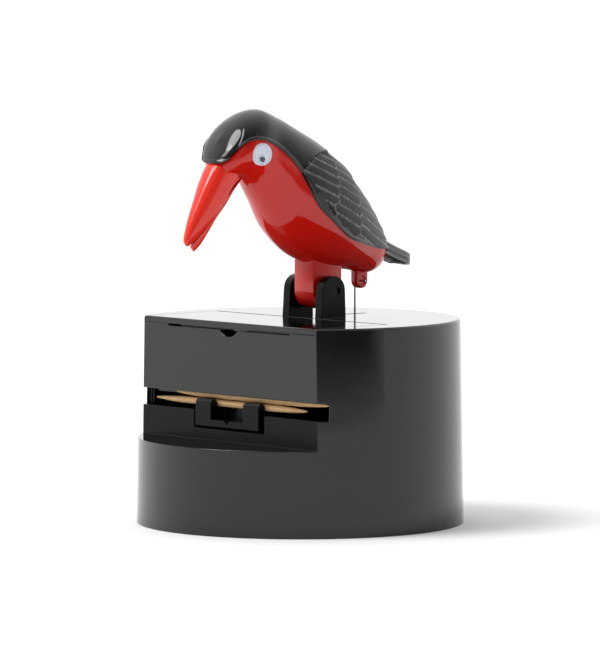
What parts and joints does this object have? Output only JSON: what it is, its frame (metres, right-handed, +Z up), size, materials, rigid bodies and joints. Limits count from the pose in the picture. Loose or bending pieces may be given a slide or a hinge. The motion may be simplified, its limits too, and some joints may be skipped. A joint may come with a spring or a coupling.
{
  "type": "pecking bird toothpick dispenser",
  "caption": "Round table dispenser with a pecking bird: pressing the bird's head down swings a toothpick out of a front slot to its beak.",
  "frame": {"origin": "centre of the underside, on the surface that the dispenser stands on", "axes": "+Z up, -Y towards the flat front that the bird faces, +X towards the bird's left"},
  "size_m": [0.0936, 0.0936, 0.1177],
  "materials": {
    "black_abs": "injection moulded, polished",
    "inner_abs": "injection moulded, satin",
    "back_abs": "injection moulded, polished cap and satin feathers",
    "red_abs": "injection moulded, polished",
    "beak_plastic": "injection moulded, satin gloss",
    "birch": "turned and tumbled, unfinished",
    "steel": "drawn wire and rod, bright",
    "eye_white": "white card",
    "eye_clear": "vacuum-formed clear dome",
    "pupil_black": "punched black disc"
  },
  "bodies": {
    "base": {"base_housing": "black_abs", "hopper_tray": "inner_abs", "bottom_cover": "inner_abs", "lever_axle": "steel", "return_spring": "steel", "pivot_pin": "steel", "cover_screw_1": "steel", "cover_screw_2": "steel", "cover_screw_3": "steel", "tray_screw_left": "steel", "tray_screw_right": "steel", "toothpick_next": "birch", "toothpick_stock_1": "birch", "toothpick_stock_2": "birch", "toothpick_stock_3": "birch", "toothpick_stock_4": "birch", "toothpick_stock_5": "birch", "toothpick_stock_6": "birch", "toothpick_stock_7": "birch", "toothpick_stock_8": "birch"},
    "lid": {"hopper_lid": "black_abs"},
    "bird": {"body_shell": "red_abs", "back_shell": "back_abs", "upper_beak": "beak_plastic", "jaw_pin": "steel", "eye_back_left": "eye_white", "eye_window_left": "eye_clear", "eye_back_right": "eye_white", "eye_window_right": "eye_clear"},
    "lower_jaw": {"lower_beak": "beak_plastic"},
    "wire": {"wire_link": "steel"},
    "lever": {"feed_lever": "black_abs", "toothpick_front": "birch"},
    "left_pupil": {"pupil_left": "pupil_black"},
    "right_pupil": {"pupil_right": "pupil_black"}
  },
  "joints": [
    {"name": "bird_bow", "type": "hinge", "parent": "base", "child": "bird", "pos_m": [0, 0.0068, 0.0661], "axis": [1, 0, 0], "range_deg": [0, 56.5], "stiffness_Nm_per_rad": 0.02, "springref_deg": -28.65},
    {"name": "feed_swing", "type": "hinge", "parent": "base", "child": "lever", "pos_m": [0, -0.02, 0.011], "axis": [1, 0, 0], "range_deg": [0, 17.5], "deforming": ["return_spring"]},
    {"name": "wire_swing", "type": "hinge", "parent": "bird", "child": "wire", "pos_m": [-0.00175, 0.0226, 0.068], "axis": [1, 0, 0], "range_deg": [-50, 0]},
    {"name": "beak_open", "type": "hinge", "parent": "bird", "child": "lower_jaw", "pos_m": [0, -0.0216, 0.1015], "axis": [1, 0, 0], "range_deg": [0, 4], "stiffness_Nm_per_rad": 0.002, "springref_deg": -17.19},
    {"name": "lid_open", "type": "hinge", "parent": "base", "child": "lid", "pos_m": [0, -0.00065, 0.05735], "axis": [1, 0, 0], "range_deg": [-60, 0]},
    {"name": "pupil_roll_left", "type": "hinge", "parent": "bird", "child": "left_pupil", "pos_m": [0.0085, -0.0223, 0.1058], "axis": [0.9781, -0.2079, 0], "continuous": true},
    {"name": "pupil_roll_right", "type": "hinge", "parent": "bird", "child": "right_pupil", "pos_m": [-0.0085, -0.0223, 0.1058], "axis": [-0.9781, -0.2079, 0], "continuous": true}
  ],
  "couplings": [
    {"joint": "feed_swing", "follows": "bird_bow", "ratio": 0.3067},
    {"joint": "wire_swing", "follows": "bird_bow", "ratio": -0.8794}
  ]
}
